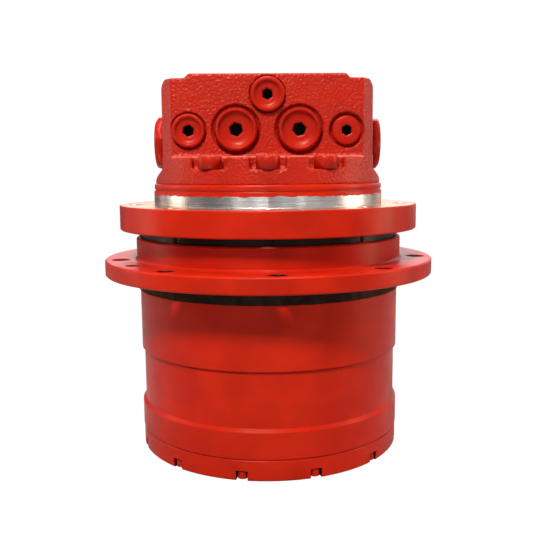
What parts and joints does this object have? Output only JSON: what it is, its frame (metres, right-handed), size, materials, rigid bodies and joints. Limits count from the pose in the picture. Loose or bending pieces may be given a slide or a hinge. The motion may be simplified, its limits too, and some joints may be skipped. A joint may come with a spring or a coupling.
{
  "type": "excavator travel final drive",
  "caption": "Round planetary final drive with a built-in hydraulic motor: sprocket flange on a turning hub, bolted frame flange, and a port block with plugged ports.",
  "frame": {"origin": "centre of the end cover's outer face, on the drive's axis", "axes": "+Z along the drive's axis from the end cover to the port block, -Y is the front with the ports, +X is to the right seen from the front"},
  "size_m": [0.21, 0.21, 0.2308],
  "materials": {
    "red_paint": "semi-gloss red enamel over castings and turned steel",
    "machined_steel": "turned and ground, oiled",
    "plug_steel": "bare steel with light rust",
    "cast_iron": "machined ductile iron",
    "dark_steel": "black oxide",
    "rubber": "nitrile rubber",
    "bronze": "bearing bronze"
  },
  "bodies": {
    "root": {"motor_body": "red_paint", "second_stage_carrier": "cast_iron", "second_stage_pins": "machined_steel", "second_stage_bushes": "bronze", "second_carrier_screws": "dark_steel", "hub_bearing_cones": "machined_steel", "frame_seal_ring": "machined_steel", "frame_seal_toric": "rubber", "shaft_seal": "rubber", "shaft_bearing_outer_rings": "machined_steel", "swash_cradles": "bronze", "valve_plate": "bronze", "brake_steel_plates": "machined_steel", "brake_disc_springs": "machined_steel", "port_block": "red_paint", "port_block_screws": "dark_steel", "port_plugs": "red_paint", "flush_plug": "plug_steel", "port_block_o_ring": "rubber", "spool_caps": "red_paint", "spool_springs": "machined_steel"},
    "hub": {"end_cover": "red_paint", "cover_screws": "red_paint", "oil_plugs": "red_paint", "cover_thrust_pad": "bronze", "cover_o_ring": "rubber", "ring_gear": "red_paint", "ring_gear_dowels": "machined_steel", "hub_housing": "red_paint", "hub_bearing_cups": "machined_steel", "hub_seal_ring": "machined_steel", "hub_seal_toric": "rubber"},
    "hub_rollers": {"hub_bearing_rollers": "machined_steel"},
    "first_carrier": {"first_stage_carrier": "cast_iron", "first_stage_pins": "machined_steel", "first_stage_bushes": "bronze", "second_sun_gear": "machined_steel"},
    "motor_rotor": {"first_sun_gear": "machined_steel", "motor_shaft": "machined_steel", "shaft_bearing_inner_rings": "machined_steel", "cylinder_block": "cast_iron", "ball_guide": "machined_steel", "block_spring": "machined_steel", "pistons": "machined_steel", "brake_friction_plates": "dark_steel"},
    "shaft_rollers": {"shaft_bearing_rollers": "machined_steel"},
    "swash": {"swash_plate": "cast_iron"},
    "shoes": {"piston_shoes": "bronze", "shoe_retainer": "machined_steel"},
    "speed_control": {"speed_piston": "machined_steel"},
    "brake": {"brake_piston": "machined_steel"},
    "spool": {"counterbalance_spool": "machined_steel"},
    "first_planet_body_1": {"first_planet_1": "machined_steel"},
    "first_planet_body_2": {"first_planet_2": "machined_steel"},
    "first_planet_body_3": {"first_planet_3": "machined_steel"},
    "second_planet_body_1": {"second_planet_1": "machined_steel"},
    "second_planet_body_2": {"second_planet_2": "machined_steel"},
    "second_planet_body_3": {"second_planet_3": "machined_steel"},
    "second_planet_body_4": {"second_planet_4": "machined_steel"}
  },
  "joints": [
    {"name": "hub_spin", "type": "hinge", "parent": "root", "child": "hub", "pos_m": [0, 0, 0.09], "axis": [0, 0, 1], "continuous": true},
    {"name": "hub_rollers_spin", "type": "hinge", "parent": "root", "child": "hub_rollers", "pos_m": [0, 0, 0.0967], "axis": [0, 0, 1], "continuous": true},
    {"name": "first_carrier_spin", "type": "hinge", "parent": "root", "child": "first_carrier", "pos_m": [0, 0, 0.035], "axis": [0, 0, 1], "continuous": true},
    {"name": "motor_spin", "type": "hinge", "parent": "root", "child": "motor_rotor", "pos_m": [0, 0, 0.12], "axis": [0, 0, 1], "continuous": true, "deforming": ["pistons"]},
    {"name": "shaft_rollers_spin", "type": "hinge", "parent": "root", "child": "shaft_rollers", "pos_m": [0, 0, 0.12], "axis": [0, 0, 1], "continuous": true},
    {"name": "swash_tilt", "type": "hinge", "parent": "root", "child": "swash", "pos_m": [0, 0, 0.1125], "axis": [1, 0, 0], "range_deg": [-6, 0], "stiffness_Nm_per_rad": 1, "springref_deg": 2.86},
    {"name": "shoes_spin", "type": "hinge", "parent": "swash", "child": "shoes", "pos_m": [0, 0, 0.1125], "axis": [0, -0.225, 0.9744], "continuous": true},
    {"name": "speed_piston_slide", "type": "slide", "parent": "root", "child": "speed_control", "axis": [0, 0, 1], "range_m": [0, 0.0035]},
    {"name": "brake_release", "type": "slide", "parent": "root", "child": "brake", "axis": [0, 0, 1], "range_m": [0, 0.001], "stiffness_N_per_m": 20000, "springref_m": -0.002, "deforming": ["brake_disc_springs"]},
    {"name": "spool_shift", "type": "slide", "parent": "root", "child": "spool", "axis": [1, 0, 0], "range_m": [-0.004, 0.004], "stiffness_N_per_m": 5000, "deforming": ["spool_springs"]},
    {"name": "second_planet_1_spin", "type": "hinge", "parent": "root", "child": "second_planet_body_1", "pos_m": [0.045, 0, 0.0505], "axis": [0, 0, 1], "continuous": true},
    {"name": "second_planet_2_spin", "type": "hinge", "parent": "root", "child": "second_planet_body_2", "pos_m": [0, 0.045, 0.0505], "axis": [0, 0, 1], "continuous": true},
    {"name": "second_planet_3_spin", "type": "hinge", "parent": "root", "child": "second_planet_body_3", "pos_m": [-0.045, 0, 0.0505], "axis": [0, 0, 1], "continuous": true},
    {"name": "second_planet_4_spin", "type": "hinge", "parent": "root", "child": "second_planet_body_4", "pos_m": [0, -0.045, 0.0505], "axis": [0, 0, 1], "continuous": true},
    {"name": "first_planet_1_spin", "type": "hinge", "parent": "first_carrier", "child": "first_planet_body_1", "pos_m": [0.04125, 0, 0.0252], "axis": [0, 0, 1], "continuous": true},
    {"name": "first_planet_2_spin", "type": "hinge", "parent": "first_carrier", "child": "first_planet_body_2", "pos_m": [-0.02063, 0.03572, 0.0252], "axis": [0, 0, 1], "continuous": true},
    {"name": "first_planet_3_spin", "type": "hinge", "parent": "first_carrier", "child": "first_planet_body_3", "pos_m": [-0.02063, -0.03572, 0.0252], "axis": [0, 0, 1], "continuous": true}
  ],
  "couplings": [
    {"joint": "hub_rollers_spin", "follows": "hub_spin", "ratio": 0.53236},
    {"joint": "first_carrier_spin", "follows": "hub_spin", "ratio": -3.8},
    {"joint": "motor_spin", "follows": "hub_spin", "ratio": -34.2},
    {"joint": "shaft_rollers_spin", "follows": "hub_spin", "ratio": -14.725},
    {"joint": "shoes_spin", "follows": "hub_spin", "ratio": -34.2},
    {"joint": "speed_piston_slide", "follows": "swash_tilt", "m_per_rad": -0.031},
    {"joint": "second_planet_1_spin", "follows": "hub_spin", "ratio": 2.7143},
    {"joint": "second_planet_2_spin", "follows": "hub_spin", "ratio": 2.7143},
    {"joint": "second_planet_3_spin", "follows": "hub_spin", "ratio": 2.7143},
    {"joint": "second_planet_4_spin", "follows": "hub_spin", "ratio": 2.7143},
    {"joint": "first_planet_1_spin", "follows": "hub_spin", "ratio": 11.4},
    {"joint": "first_planet_2_spin", "follows": "hub_spin", "ratio": 11.4},
    {"joint": "first_planet_3_spin", "follows": "hub_spin", "ratio": 11.4}
  ]
}
